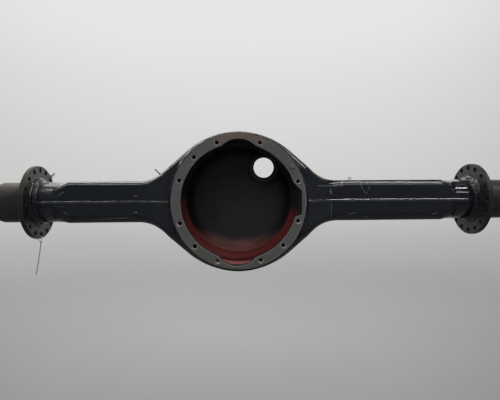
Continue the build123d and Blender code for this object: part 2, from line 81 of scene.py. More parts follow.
# %% Sockets with operators
class Value:
    """A shader socket that takes part in Python arithmetic."""

    def __init__(self, tree, socket):
        self.tree = tree
        self.socket = socket

    def maths(self, operation, *values, clamp=False):
        settings = {"operation": operation, "use_clamp": clamp}
        return add_node(self.tree, "ShaderNodeMath", settings, dict(enumerate(values)))

    def __add__(self, other):
        return self.maths("ADD", self, other)

    def __sub__(self, other):
        return self.maths("SUBTRACT", self, other)

    def __rsub__(self, other):
        return self.maths("SUBTRACT", other, self)

    def __mul__(self, other):
        return self.maths("MULTIPLY", self, other)

    def __truediv__(self, other):
        return self.maths("DIVIDE", self, other)

    def __pow__(self, other):
        return self.maths("POWER", self, other)

    __radd__ = __add__
    __rmul__ = __mul__

    def clamp(self):
        return self.maths("ADD", self, 0.0, clamp=True)

    def larger(self, other):
        return self.maths("MAXIMUM", self, other)

    def rise(self, start, end):
        """0 before start, 1 after end and a smooth slope between; start may be the larger."""
        settings = {"interpolation_type": "SMOOTHSTEP"}
        sockets = {"Value": self, "From Min": start, "From Max": end}
        return add_node(self.tree, "ShaderNodeMapRange", settings, sockets)

    def band(self, low, high, soft):
        """1 between low and high, with soft edges."""
        return self.rise(low - soft, low + soft) * self.rise(high + soft, high - soft)


def add_node(tree, kind, settings=None, sockets=None, output=0):
    """Adds a node: its settings first, then the values or links of its sockets."""
    node = tree.nodes.new(kind)
    for name, setting in (settings or {}).items():
        setattr(node, name, setting)
    for name, value in (sockets or {}).items():
        if isinstance(value, Value):
            tree.links.new(value.socket, node.inputs[name])
        else:
            node.inputs[name].default_value = value
    return Value(tree, node.outputs[output])


# %% [markdown]
# ## One builder for every finish
# Every finish reads Object coordinates. The CAD pieces all sit at the origin, so Object coordinates
# are places in the CAD frame, in metres, and a pattern runs on from one piece to the next as paint
# does. A scale is therefore how many times a pattern repeats in a metre.

# %% A material under construction
class Finish:
    """A material with its surface node, and shortcuts to what finishes read most."""

    def __init__(self, name):
        self.material = bpy.data.materials.new(name)
        self.material.use_nodes = True
        self.tree = self.material.node_tree
        self.surface = self.tree.nodes["Principled BSDF"]
        self.point = self.node("ShaderNodeTexCoord", output="Object")
        self.x, self.y, self.z = (self.part(self.point, axis) for axis in "XYZ")

    def node(self, kind, settings=None, sockets=None, output=0):
        return add_node(self.tree, kind, settings, sockets, output)

    def part(self, vector, axis):
        return self.node("ShaderNodeSeparateXYZ", None, {0: vector}, axis)

    def facing(self, axis):
        """How far a face looks along an axis, from -1 to 1. The front of the part looks along -Y."""
        return self.part(self.node("ShaderNodeNewGeometry", output="True Normal"), axis)

    def ring_reach(self):
        """The distance from the line through the ring's centre."""
        return (self.x * self.x + self.z * self.z) ** 0.5

    def noise(self, scale, detail, rough, stretch=(1, 1, 1)):
        """Smooth noise round 0.5. A stretch below 1 draws the pattern out along that axis."""
        point = self.node("ShaderNodeMapping", None, {"Vector": self.point, "Scale": stretch})
        sockets = {"Vector": point, "Scale": scale, "Detail": detail, "Roughness": rough}
        return self.node("ShaderNodeTexNoise", None, sockets)

    def turning(self, place, scale):
        """The lines that a lathe leaves, as noise along one distance."""
        sockets = {"W": place, "Scale": scale}
        return self.node("ShaderNodeTexNoise", {"noise_dimensions": "1D"}, sockets)

    def mix(self, factor, first, second):
        sockets = {0: factor, 6: first, 7: second}
        return self.node("ShaderNodeMix", {"data_type": "RGBA"}, sockets, 2)

    def set(self, **sockets):
        for name, value in sockets.items():
            socket = self.surface.inputs[name.replace("_", " ").title().replace("Ior", "IOR")]
            if isinstance(value, Value):
                self.tree.links.new(value.socket, socket)
            else:
                socket.default_value = value

    def bump(self, height, depth, strength=1.0):
        """Relief from a height between 0 and 1, depth metres deep."""
        sockets = {"Height": height, "Distance": depth, "Strength": strength}
        self.set(normal=self.node("ShaderNodeBump", None, sockets))


def rgb(red, green, blue):
    return (red, green, blue, 1.0)


# %% [markdown]
# ## Gloss black paint
# The pressings carry a thick coat of gloss black brushed over mill scale. Plain black would look
# like plastic. Real paint of this kind is slightly blue and wavy, and dusty where it faces up. So
# the relief has a long wave and the shorter wave of the hand, and dust lies by the face's
# direction. Its grey on the tops is also a painted reflection: it stands in for the pale sheen that
# the tops show at a grazing view. On the tops the gloss is rubbed off in patches, which breaks the
# highlights there into dashes.

# %% Outside coat
BLACK = rgb(0.0076, 0.0084, 0.0108)
# The grey of dust, which on the tops is also a painted reflection of the pale room.
DUST_AND_SHEEN = rgb(0.16, 0.155, 0.145)
TOP_DUST_AND_SHEEN = 0.22
GRAIN_DUST = 0.06
GLOSS_ROUGHNESS = 0.05
CLOUDY_ROUGHNESS = 0.07
DUST_ROUGHNESS = 0.4
WIPED_ROUGHNESS = 0.16
PAINT_RELIEF = 3.0 * MM
LONG_WAVE_SHARE = 0.55
HAND_WAVE_SHARE = 0.12
ALONG_ARM = (0.5, 1, 1)
BRUSH_STROKE = (0.6, 1, 1)


def paint_coat(finish, wave=1.0):
    """Gives a finish the outside coat, and returns its colour and roughness."""
    up = finish.facing("Z")
    cloud = finish.noise(22, detail=4, rough=0.6)
    grain = finish.noise(900, detail=3, rough=0.7)
    # Faces that look up get a grey that is partly dust and partly a painted sheen.
    top_dust_and_sheen = up.rise(0.45, 1.0) * cloud.rise(0.35, 0.75) * TOP_DUST_AND_SHEEN
    dust_and_sheen = (top_dust_and_sheen + grain.rise(0.68, 0.76) * GRAIN_DUST).clamp()
    patches = finish.noise(48, detail=3, rough=0.6, stretch=ALONG_ARM)
    wiped = patches.rise(0.50, 0.60) * up.rise(0.1, 0.4) * WIPED_ROUGHNESS
    rough = GLOSS_ROUGHNESS + cloud.rise(0.45, 0.7) * CLOUDY_ROUGHNESS + dust_and_sheen * DUST_ROUGHNESS + wiped
    long_wave = finish.noise(11, detail=2, rough=0.5, stretch=ALONG_ARM)
    hand_wave = finish.noise(38, detail=2, rough=0.5, stretch=BRUSH_STROKE)
    height = long_wave * LONG_WAVE_SHARE * wave + hand_wave * HAND_WAVE_SHARE * wave
    finish.bump(height, PAINT_RELIEF, strength=0.6)
    return finish.mix(dust_and_sheen, BLACK, DUST_AND_SHEEN), rough


# %% [markdown]
# ## Misted black and red primer inside
# Inside, the black was only misted on, and red primer shows along the bottom. Where the red meets
# the black is also where the light that comes in through the ring stops, so the black is partly
# painted shade. The halves and the cover are single pieces with an inside and an outside, so a mask
# has to part the two. A second material on the inner faces would need them picked out one by one.
# The face's direction does it without: a face is inside when it looks towards the middle of the
# housing.

# %% Inside coat
# Misted black paint, which inside also serves as painted shade.
INSIDE_BLACK_AND_SHADE = rgb(0.021, 0.019, 0.022)
INSIDE_ROUGHNESS = 0.6
INSIDE_EDGE = 0.5 * MM
THINNEST_RED = 0.72
PATCHY_RED = 0.4


def outside_mask(finish, centre):
    """1 on faces that look away from centre and 0 on faces that look towards it."""
    subtract, dot_product = {"operation": "SUBTRACT"}, {"operation": "DOT_PRODUCT"}
    offset = finish.node("ShaderNodeVectorMath", subtract, {0: finish.point, 1: centre})
    normal = finish.node("ShaderNodeNewGeometry", output="True Normal")
    dot = finish.node("ShaderNodeVectorMath", dot_product, {0: offset, 1: normal}, "Value")
    return dot.rise(-INSIDE_EDGE, INSIDE_EDGE)


def paint_inside(finish, centre, color, rough, red, redness):
    """Changes the faces that look towards centre to misted black, which is partly painted shade, with
    red primer where red is 1.
    """
    outside = outside_mask(finish, centre)
    cloud = finish.noise(60, detail=4, rough=0.7)
    inner = finish.mix(red * (THINNEST_RED + cloud * PATCHY_RED).clamp(), INSIDE_BLACK_AND_SHADE, redness)
    color = finish.mix(outside, inner, color)
    return color, outside * rough + (1 - outside) * INSIDE_ROUGHNESS


# %% [markdown]
# ## Scuffs on the front of the arms
# Slings and other parts have drawn pale lines on the paint. A painted image would need a picture
# and a map. Each scuff here is a short straight line instead: the mask is light where the distance
# to the line is small, and noise makes its edge ragged.

# %% Scuffs
# Start x and z, end x and z and width, all in millimetres, and then how light the scuff is.
SCUFFS = {
    # A long thin pale line near the top of the right arm, near the ring.
    "right_long_pale_line": (253, 48, 346, 47.5, 1.3, 0.36),
    "right_chip": (299, 36, 303, 22, 3.4, 0.18),
    "right_upright_line": (303, 0, 302, -60, 1.6, 0.11),
    "loop_near_side": (402, 60, 408, 35, 1.5, 0.20),
    "loop_near_foot": (408, 35, 419, 21, 1.5, 0.20),
    "loop_far_foot": (419, 21, 433, 37, 1.5, 0.19),
    "loop_far_side": (433, 37, 421, 60, 1.5, 0.19),
    "right_low_rub": (364, -45, 386, -40, 2.6, 0.11),
    "right_low_dot": (418, -57, 422, -54, 3.0, 0.12),
    "right_end_rub": (640, -49, 658, -43, 3.2, 0.11),
    "left_upper_nick": (-336, 19, -329, 19.5, 2.6, 0.22),
    "left_lower_nick": (-336, -34, -329, -33.5, 2.6, 0.24),
    "left_end_dash": (-573, -13, -562, -13, 2.2, 0.13),
    "left_end_hook": (-563, -31, -552, -37, 2.6, 0.12),
    "left_end_slash": (-577, 22, -563, 33, 1.8, 0.14),
    "left_long_rub": (-446, -55, -357, -50, 1.8, 0.13),
    "right_top_fleck": (337, 62, 343, 62, 3.5, 0.5),
    "right_small_fleck": (337, 55, 342, 54.5, 2.4, 0.35),
}
SHARP_CORE = 0.2


def scuffs_on(finish):
    """How light the scuffs are at each place of the front faces."""
    lightest = None
    for start_x, start_z, end_x, end_z, width, lightness in SCUFFS.values():
        run, fall = (end_x - start_x) * MM, (end_z - start_z) * MM
        across, above = finish.x - start_x * MM, finish.z - start_z * MM
        share = ((across * run + above * fall) / (run ** 2 + fall ** 2)).clamp()
        distance = ((across - share * run) ** 2 + (above - share * fall) ** 2) ** 0.5
        scuff = distance.rise(width * MM, width * MM * SHARP_CORE) * lightness
        lightest = scuff if lightest is None else lightest.larger(scuff)
    ragged = finish.noise(420, detail=3, rough=0.7, stretch=ALONG_ARM).rise(0.40, 0.58)
    return lightest * ragged * finish.facing("Y").rise(-0.6, -0.8)


# %% [markdown]
# ## Paint of the two halves
# This finish puts the coats together. Inside, red primer covers the lower part up to a ragged line
# that leans a little; the line also follows the edge of the light that falls in through the ring,
# so the black above it is partly painted shade. The plate under the ring shows through the ring's
# reliefs: it is painted dark as the ring's shadow, with primer painted paler behind the relief at
# the bottom, where the light reaches it. The left end is duller than the rest.

# %% Finish of the halves
SCUFF_GREY = rgb(0.62, 0.62, 0.60)
# Primer painted paler where light reaches it, and the ring's painted shadow on the plate.
PRIMER = rgb(0.110, 0.022, 0.021)
PALE_LIT_PRIMER = rgb(0.17, 0.055, 0.055)
UNDER_RING_SHADOW = rgb(0.010, 0.007, 0.006)
UNDER_RING_DEPTH = 20 * MM
SCUFF_ROUGHNESS = 0.4
DULL_END_ROUGHNESS = 0.22
RAGGED_EDGE = 0.03
PRIMER_LEAN = 0.10


def shell_finish():
    finish = Finish("gloss_black_shell")
    color, rough = paint_coat(finish)
    scuff = scuffs_on(finish)
    color = finish.mix(scuff, color, SCUFF_GREY)
    dull_end = finish.x.rise(-570 * MM, -600 * MM) * DULL_END_ROUGHNESS
    rough = rough + scuff * SCUFF_ROUGHNESS + dull_end

    edge = finish.noise(14, detail=3, rough=0.6) * RAGGED_EDGE
    # Red primer below a ragged leaning line; the black above it is partly painted shade.
    red = (finish.z + finish.x * PRIMER_LEAN + edge).rise(12 * MM, -12 * MM)
    color, rough = paint_inside(finish, (0.0, AXLE.y, 0.0), color, rough, red, PRIMER)

    # The plate under the ring: painted dark as the ring's shadow, and paler primer at the bottom as
    # painted light.
    within = finish.ring_reach().rise(RING_RADIUS, RING_RADIUS - 2 * MM)
    front_plate = finish.y.rise(AXLE.y, AXLE.y - UNDER_RING_DEPTH)
    under_ring_shade_and_light = within * finish.facing("Y").rise(-0.8, -0.95) * front_plate
    lit_bottom_relief = finish.z.rise(-50 * MM, -120 * MM) * finish.x.band(-75 * MM, 60 * MM, 8 * MM)
    color = finish.mix(under_ring_shade_and_light, color, UNDER_RING_SHADOW)
    color = finish.mix(under_ring_shade_and_light * lit_bottom_relief, color, PALE_LIT_PRIMER)
    rough = rough.larger(under_ring_shade_and_light * INSIDE_ROUGHNESS)
    finish.set(base_color=color, roughness=rough)
    return finish.material


shell_paint = shell_finish()
print("nodes of the shell paint:", len(shell_paint.node_tree.nodes))

# %% [markdown]
# ## Paint of the cover
# The dome got the same coats. Seen through the ring, its primer is a brownish pink, and the misted
# black comes down over it in a hanging curve, deepest in the middle. The curve is also the edge of
# the light that falls in through the ring, so the black above it is partly painted shade. A parabola
# gives that curve.

# %% Finish of the cover
BROWN_PRIMER = rgb(0.31, 0.135, 0.115)
SHADE_CURVE_DEPTH = 150 * MM
SHADE_CURVE_RISE = 2.0
SHADE_CURVE_LEAN = 0.05


def cover_finish():
    finish = Finish("gloss_black_cover")
    color, rough = paint_coat(finish)
    edge = finish.noise(16, detail=3, rough=0.6) * RAGGED_EDGE
    # Red primer below the hanging curve; the black above it is partly painted shade.
    shade_curve = finish.x * finish.x * SHADE_CURVE_RISE - finish.x * SHADE_CURVE_LEAN - SHADE_CURVE_DEPTH
    red = (finish.z + edge - shade_curve).rise(30 * MM, -50 * MM)
    color, rough = paint_inside(finish, COVER_CENTRE, color, rough, red, BROWN_PRIMER)
    finish.set(base_color=color, roughness=rough)
    return finish.material


cover_paint = cover_finish()
print("nodes of the cover paint:", len(cover_paint.node_tree.nodes))

# %% [markdown]
# ## Paint of the beads
# Paint pools on a weld bead and shines more than on the plate. The seam beads get a clear coat as
# well, so that they draw a bright broken line along the arms. The round beads have less gloss and
# more dull patches.

# %% Finish of the beads
BEAD_WAVE = 0.3


def bead_finish(name, gloss, coat, skip):
    """Paint on a bead: gloss and coat brighten its glints and skip dulls parts of it."""
    finish = Finish(name)
    color, rough = paint_coat(finish, BEAD_WAVE)
    skips = finish.noise(55, detail=2, rough=0.5).rise(0.50, 0.60) * skip
    finish.set(base_color=color, roughness=rough + skips, specular_ior_level=gloss, coat_weight=coat)
    return finish.material


seam_paint = bead_finish("gloss_black_seam", gloss=1.0, coat=1.0, skip=0.25)
bead_paint = bead_finish("gloss_black_bead", gloss=0.35, coat=0.0, skip=0.45)
print("bead paints:", seam_paint.name, bead_paint.name)

# %% [markdown]
# ## Dull machined steel
# The ring was faced on a lathe and has gone dark since, with a brown patch at the top, and a
# painted highlight, broken up by stains, lies along the right rim. A mirror-like metal would pick
# up the lamps, so the steel is a grey with little shine. The face's direction tells the flat face
# from the chamfers and the bore. The inner chamfer is painted light, as a painted highlight for the
# lip that catches the lamps, and the outer one got paint with the shell. Inside the tapped holes
# the steel is brighter.

# %% Ring and its threads
RING_GREY = rgb(0.046, 0.047, 0.045)
RING_LIGHT_GREY = rgb(0.070, 0.070, 0.066)
RING_STAIN = rgb(0.042, 0.036, 0.032)
RING_BROWN = rgb(0.100, 0.064, 0.045)
# Painted highlights: one along the right rim, one on the chamfers.
RING_RIM_HIGHLIGHT = rgb(0.15, 0.15, 0.14)
RING_CHAMFER_HIGHLIGHT = rgb(0.16, 0.155, 0.145)
RING_BORE = rgb(0.045, 0.040, 0.036)
RING_RELIEF = 0.12 * MM
FACE_LINES = 1400.0


def ring_finish():
    finish = Finish("machined_ring_face")
    ahead, reach = finish.facing("Y"), finish.ring_reach()
    cloud = finish.noise(11, detail=4, rough=0.6)
    stain = finish.noise(40, detail=4, rough=0.65)
    grey = finish.mix(cloud, RING_GREY, RING_LIGHT_GREY)
    grey = finish.mix(stain.rise(0.52, 0.75) * 0.5, grey, RING_STAIN)
    brown = finish.z.rise(165 * MM, 205 * MM) * cloud.rise(0.25, 0.65) * 0.7
    grey = finish.mix(brown, grey, RING_BROWN)
    # A painted highlight along the right rim, broken up by the stains.
    right_rim_highlight = reach.rise(RING_RADIUS - 9 * MM, RING_RADIUS - 4 * MM) * finish.x.rise(50 * MM, 160 * MM)
    grey = finish.mix(right_rim_highlight * stain.rise(0.35, 0.6) * 0.5, grey, RING_RIM_HIGHLIGHT)
    # Chamfers are painted light, as a painted highlight; the outer one is then painted black.
    chamfer = ahead.rise(-0.95, -0.85)
    grey = finish.mix(chamfer * 0.7, grey, RING_CHAMFER_HIGHLIGHT)
    grey = finish.mix(ahead.rise(-0.6, -0.4), grey, RING_BORE)
    outer_chamfer = chamfer * reach.rise(RING_RADIUS - 4.6 * MM, RING_RADIUS - 4.0 * MM)
    grey = finish.mix(outer_chamfer, grey, BLACK)
    finish.set(base_color=grey, roughness=0.42 + stain * 0.2, specular_ior_level=0.15)
    finish.bump(finish.turning(reach, FACE_LINES) * 0.5 + stain * 0.5, RING_RELIEF, strength=0.6)
    return finish.material


THREAD_BRIGHT = rgb(0.30, 0.28, 0.25)
THREAD_STAIN = rgb(0.10, 0.07, 0.055)


def thread_finish():
    finish = Finish("bright_thread_steel")
    stain = finish.noise(60, detail=4, rough=0.65)
    steel = finish.mix(stain.rise(0.4, 0.65), THREAD_BRIGHT, THREAD_STAIN)
    finish.set(base_color=steel, roughness=0.4, specular_ior_level=0.3)
    return finish.material


ring_steel = ring_finish()
thread_steel = thread_finish()
print("ring finishes:", ring_steel.name, thread_steel.name)

# %% [markdown]
# ## Bare steel with a rust film
# The flanges and the spindles are bare: dark scale, fine turning lines, pits, and a brown film that
# gathers where water lies, on top. The film is also what makes the tops lighter than the
# undersides, so it is partly painted light. One recipe makes all of them, with other colours and
# another amount of film for each. The small fittings use it with hardly any film.

# %% Flanges, spindles and small fittings
SPINDLE_LINES = 700.0
STEEL_RELIEF = 0.25 * MM
FILM_CONTRAST = 2.2
FILM_MIDDLE = 0.6
# More film on faces that look up: partly rust, partly painted light on the tops.
FILM_AND_LIGHT_ON_TOP = 0.55


def rusty_steel(name, dark, rust, amount, gloss=0.12):
    """Dark steel under a brown film; a larger amount spreads the film."""
    finish = Finish(name)
    cloud = finish.noise(16, detail=5, rough=0.65)
    speck = finish.noise(180, detail=4, rough=0.7)
    pits = finish.noise(75, detail=3, rough=0.6)
    patches = (cloud * 0.7 + speck * 0.5 - FILM_MIDDLE) * FILM_CONTRAST
    # The film lightens the tops: partly rust and partly painted light.
    film = (patches + finish.facing("Z") * FILM_AND_LIGHT_ON_TOP + amount).clamp()
    rough = 0.30 + film * 0.35 + speck * 0.1
    finish.set(base_color=finish.mix(film, dark, rust), roughness=rough, specular_ior_level=gloss)
    lines = finish.turning(finish.x, SPINDLE_LINES)
    finish.bump(lines * 0.3 + speck * 0.4 + pits * 0.6, STEEL_RELIEF, strength=0.7)
    return finish.material


spindle_steel = rusty_steel(
    "spindle_rust_film", dark=rgb(0.020, 0.020, 0.020), rust=rgb(0.085, 0.064, 0.050), amount=-0.12
)
flange_steel = rusty_steel(
    "flange_dark_scale", dark=rgb(0.018, 0.018, 0.018), rust=rgb(0.056, 0.046, 0.038), amount=-0.02
)
dowel_steel = rusty_steel(
    "small_fittings_steel", dark=rgb(0.10, 0.10, 0.095), rust=rgb(0.09, 0.06, 0.04), amount=-0.4
)
plug_steel = rusty_steel(
    "black_fittings_steel", dark=rgb(0.008, 0.008, 0.008), rust=rgb(0.03, 0.022, 0.018),
    amount=-0.4, gloss=0.3
)
print("steels:", spindle_steel.name, flange_steel.name, dowel_steel.name, plug_steel.name)

# %% [markdown]
# ## The two ties
# Two moulded nylon ties are left in holes of the left flange. The lower one is pale at its loop,
# partly as a painted highlight, and stained dark along its tail. The upper one is dark at the hole
# and grey at its end. Both change colour with height, so one recipe fades between two colours over
# a short stretch.

# %% Ties
TIE_DIRT = rgb(0.03, 0.025, 0.02)
TIE_RELIEF = 0.05 * MM
RAGGED_MILLIMETRES = 8
LOOP_END = -FLANGE_RADIUS - 12 * MM
strap_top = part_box("upper_flange_tie")[1].z


def tie_finish(name, first, second, start, end):
    """Weathered nylon that changes from first to second between two heights."""
    finish = Finish(name)
    cloud = finish.noise(300, detail=3, rough=0.6)
    fade = (finish.z + (cloud - 0.5) * RAGGED_MILLIMETRES * MM).rise(start, end)
    color = finish.mix(cloud * 0.35, finish.mix(fade, first, second), TIE_DIRT)
    finish.set(base_color=color, roughness=0.32 + cloud * 0.2)
    finish.bump(cloud, TIE_RELIEF)
    return finish.material


# The pale loop is partly a painted highlight.
lower_tie = tie_finish(
    "tie_lit_pale_loop_brown_tail", rgb(0.38, 0.37, 0.35), rgb(0.022, 0.015, 0.012),
    start=LOOP_END + 2 * MM, end=LOOP_END - 2 * MM
)
upper_tie = tie_finish(
    "tie_grey_strap", rgb(0.015, 0.015, 0.015), rgb(0.16, 0.145, 0.13),
    start=strap_top - 30 * MM, end=strap_top - 16 * MM
)
print("ties:", lower_tie.name, upper_tie.name)

# %% [markdown]
# ## A finish for each CAD piece
# A table says which piece gets which finish, so that it can be read and changed in one place. What
# it doesn't name, such as the breather and the staple, is painted like a bead.

# %% Dress the CAD pieces
finishes = {
    "upper_shell_half": shell_paint,
    "lower_shell_half": shell_paint,
    "rear_cover": cover_paint,
    "output_boss": cover_paint,
    "fill_boss": cover_paint,
    "fill_plug": cover_paint,
    "drain_plug": plug_steel,
    "carrier_ring": ring_steel,
    "carrier_dowel": dowel_steel,
    "left_spindle": spindle_steel,
    "right_spindle": spindle_steel,
    "left_brake_flange": flange_steel,
    "right_brake_flange": flange_steel,
    "left_outboard_weld": flange_steel,
    "right_outboard_weld": flange_steel,
    "lower_flange_tie": lower_tie,
    "upper_flange_tie": upper_tie,
}
for name, piece in nodes.items():
    piece.data.materials.clear()
    piece.data.materials.append(finishes.get(name, bead_paint))
print("pieces with a finish of their own:", len(finishes), "of", len(nodes))

# %% [markdown]
# ## Weld beads with their ripples
# A hand-laid bead is a row of overlapping crescents, and its width and height wander. The CAD beads
# are smooth. Here a copy of each is merged, divided across into thin steps and moved in and out at
# the steps, so the bead stays where the CAD has it and catches the light as a broken line. Ripples
# in the paint's relief alone would be lost in a side view.

# %% Tools for beads
RIPPLE_STEP = 1.6 * MM
RIPPLE_PITCH = 4.8 * MM
CRESCENT_BOW = 1.6
DOUBLES = 0.02 * MM
FLAT_ENOUGH = math.radians(0.25)
SHARP_EDGE = math.radians(48)
CUT_DISTANCE = 0.01 * MM


def add_piece(mesh_source, name, material):
    """Makes a bmesh a piece of the housing."""
    bmesh.ops.recalc_face_normals(mesh_source, faces=mesh_source.faces)
    mesh = bpy.data.meshes.new(name)
    mesh_source.to_mesh(mesh)
    mesh_source.free()
    mesh.materials.append(material)
    mesh.shade_smooth()
    mesh.set_sharp_from_angle(angle=SHARP_EDGE)
    piece = bpy.data.objects.new(name, mesh)
    bpy.context.scene.collection.objects.link(piece)
    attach(piece, "root")
    return piece


def merged_copy(name):
    """A copy of a CAD bead with its doubles merged and its flat faces whole again."""
    bead = bmesh.new()
    bead.from_mesh(nodes[name].data)
    bmesh.ops.remove_doubles(bead, verts=bead.verts, dist=DOUBLES)
    bmesh.ops.dissolve_limit(bead, angle_limit=FLAT_ENOUGH, verts=bead.verts, edges=bead.edges)
    return bead


def cut_across(mesh_source, place, direction):
    """Cuts all faces along a plane and keeps both sides."""
    geometry = mesh_source.verts[:] + mesh_source.edges[:] + mesh_source.faces[:]
    bmesh.ops.bisect_plane(
        mesh_source, geom=geometry, dist=CUT_DISTANCE, plane_co=place, plane_no=direction
    )


def divide_along(bead, run_of):
    """Divides each edge that runs along the bead; run_of says how far it runs, or 0 if it doesn't."""
    groups = {}
    for edge in bead.edges:
        cuts = round(run_of(edge) / RIPPLE_STEP) - 1
        if cuts > 0:
            groups.setdefault(cuts, []).append(edge)
    for cuts, edges in sorted(groups.items()):
        bmesh.ops.subdivide_edges(bead, edges=edges, cuts=cuts)


def dip(phase):
    """How deep a ripple is at a phase, from 0 to 1."""
    return 0.5 - 0.5 * math.cos(phase)


def wander(place, length, seed):
    """Smooth noise between -1 and 1 that changes over a length."""
    return noise.noise(Vector((place / length, seed, 0.0)))


# %% [markdown]
# ## Seam beads
# The two halves meet at the height of the axle and are welded along the front and the rear of both
# arms. The CAD bead has a flat crest with two bevels. It is cut into rows by height first, so that
# its face can be rounded, then divided along the arm for the ripples. Last, the whole bead wanders
# up and down a little, as a hand does.

# %% Seam beads
SEAM_CREST = 1.8 * MM
SEAM_BEVEL = 1.5 * MM
SEAM_ROUNDING = 2.0 * MM
SEAM_RIPPLE = 0.34 * MM
SEAM_SWELL = 0.30 * MM
SEAM_SWELL_LENGTH = 22 * MM
SEAM_WANDER = 0.7 * MM
SEAM_WANDER_LENGTH = 35 * MM
SEAM_ROWS = (-0.8, -0.4, -0.2, 0.0, 0.2, 0.4, 0.8)
SEAM_EDGE = 0.97
LEVEL_ENOUGH = 0.1 * MM
OTHER_SEED = 7.3


def seam_run(edge):
    """How far an edge runs along the arm, or 0 if it isn't level."""
    first, second = (vert.co for vert in edge.verts)
    return abs(second.x - first.x) if abs(second.z - first.z) < LEVEL_ENOUGH else 0.0


def seam_bead(name, side, seed):
    """The bead between the halves; side is -1 on the front and 1 on the rear."""
    bead = merged_copy(name)
    low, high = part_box(name)
    half = (high.z - low.z) / 2
    for row in SEAM_ROWS:
        cut_across(bead, (0, 0, half * row), (0, 0, 1))
    divide_along(bead, seam_run)
    bead.normal_update()
    for vert in bead.verts:
        share = vert.co.z / half
        if abs(share) < SEAM_EDGE and vert.normal.y * side > 0.1:
            was = SEAM_CREST - max(abs(vert.co.z) - (half - SEAM_BEVEL), 0.0)
            rounded = SEAM_ROUNDING * math.sqrt(1 - share ** 2)
            phase = math.tau * vert.co.x / RIPPLE_PITCH - CRESCENT_BOW * share ** 2
            ripple = SEAM_RIPPLE * dip(phase) * (1 - share ** 2)
            swell = SEAM_SWELL * wander(vert.co.x, SEAM_SWELL_LENGTH, seed)
            vert.co.y += side * (rounded - was - ripple + swell)
    for vert in bead.verts:
        vert.co.z += SEAM_WANDER * wander(vert.co.x, SEAM_WANDER_LENGTH, seed + OTHER_SEED)
    piece = add_piece(bead, name + "_rippled", seam_paint)
    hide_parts(name)
    print(name, "faces:", len(piece.data.polygons))


FRONT, REAR = -1, 1
seam_bead("seam_weld_front_left", FRONT, 1.0)
seam_bead("seam_weld_front_right", FRONT, 2.0)
seam_bead("seam_weld_rear_left", REAR, 3.0)
seam_bead("seam_weld_rear_right", REAR, 4.0)

# %% [markdown]
# ## Round beads
# The ring, the cover, the bosses and the flanges each have a bead that runs round an axis. Its open
# face looks outwards and along that axis, so those two directions pick out the points that may
# move, and the faces that touch the steel stay put. The ripples run with the angle. The small beads
# of the bosses are smoothed first, which rounds off the edges of their CAD form.

# %% Round beads
ROUND_SWELL = 0.5
ROUND_SWELL_LENGTH = 20 * MM
SAME_REACH = 0.3 * MM
OPEN_ENOUGH = 0.12
EDGE_MOTION = 0.25
MIDDLE_MOTION = 3
RADIUS_SEED = 90


def round_bead(name, axis, open_way, depth, material, smoothings=0):
    """A bead round a ring, boss or flange, rippled on the face that looks out and along open_way."""
    bead = merged_copy(name)
    low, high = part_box(name)
    centre = (low + high) / 2
    axis = Vector(axis)
    across = axis.orthogonal().normalized()
    side = axis.cross(across)
    radius = (high.z - low.z) / 2

    def spoke_of(place):
        spoke = place - centre
        return spoke - axis * spoke.dot(axis)

    def round_run(edge):
        first, second = (spoke_of(vert.co) for vert in edge.verts)
        level = abs(first.length - second.length) < SAME_REACH
        flat = abs((edge.verts[1].co - edge.verts[0].co).dot(axis)) < SAME_REACH
        return first.angle(second) * radius if level and flat else 0.0

    def is_open(vert):
        outward = vert.normal.dot(spoke_of(vert.co).normalized())
        return outward > OPEN_ENOUGH and vert.normal.dot(axis) * open_way > OPEN_ENOUGH

    divide_along(bead, round_run)
    bead.normal_update()
    open_verts = [vert for vert in bead.verts if is_open(vert)]
    for _ in range(smoothings):
        bmesh.ops.smooth_vert(
            bead, verts=open_verts, factor=0.5, use_axis_x=True, use_axis_y=True, use_axis_z=True
        )
    reaches = [spoke_of(vert.co).length for vert in open_verts]
    inner, outer = min(reaches), max(reaches)
    for vert in open_verts:
        spoke = spoke_of(vert.co)
        share = (spoke.length - inner) / (outer - inner)
        run = math.atan2(spoke.dot(side), spoke.dot(across)) * radius
        phase = math.tau * run / RIPPLE_PITCH + CRESCENT_BOW * (2 * share - 1) ** 2
        swell = ROUND_SWELL * depth * wander(run, ROUND_SWELL_LENGTH, radius * RADIUS_SEED)
        motion = EDGE_MOTION + MIDDLE_MOTION * share * (1 - share)
        vert.co += vert.normal * (swell - depth * dip(phase)) * motion
    piece = add_piece(bead, name + "_rippled", material)
    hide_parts(name)
    print(name, "faces:", len(piece.data.polygons), "open verts:", len(open_verts))


ALONG_X, ALONG_Y = (1, 0, 0), (0, 1, 0)
round_bead("ring_weld", ALONG_Y, -1, 0.5 * MM, bead_paint)
round_bead("cover_weld", ALONG_Y, 1, 0.5 * MM, bead_paint)
round_bead("output_boss_weld", ALONG_Y, 1, 0.5 * MM, bead_paint, smoothings=4)
round_bead("fill_boss_weld", ALONG_Y, 1, 0.4 * MM, bead_paint, smoothings=4)
round_bead("left_inboard_weld", ALONG_X, 1, 0.9 * MM, bead_paint)
round_bead("right_inboard_weld", ALONG_X, -1, 0.9 * MM, bead_paint)
round_bead("left_outboard_weld", ALONG_X, -1, 0.5 * MM, flange_steel)
round_bead("right_outboard_weld", ALONG_X, 1, 0.5 * MM, flange_steel)

# %% [markdown]
# ## Threads
# The spindle tips carry a fine thread for the bearing nuts, and the ring has eleven tapped holes. A
# thread is one V-shaped ridge wound round an axis, so it is a triangle that is spun and pushed on
# at each step. A texture of slanted lines would vanish at the edge of the tip. In a hole the crest
# points inwards, and the steel there is what shows as a bright crescent.

# %% Ridge of a thread
TURN_STEPS = 28
HALF_RIDGE = 0.47


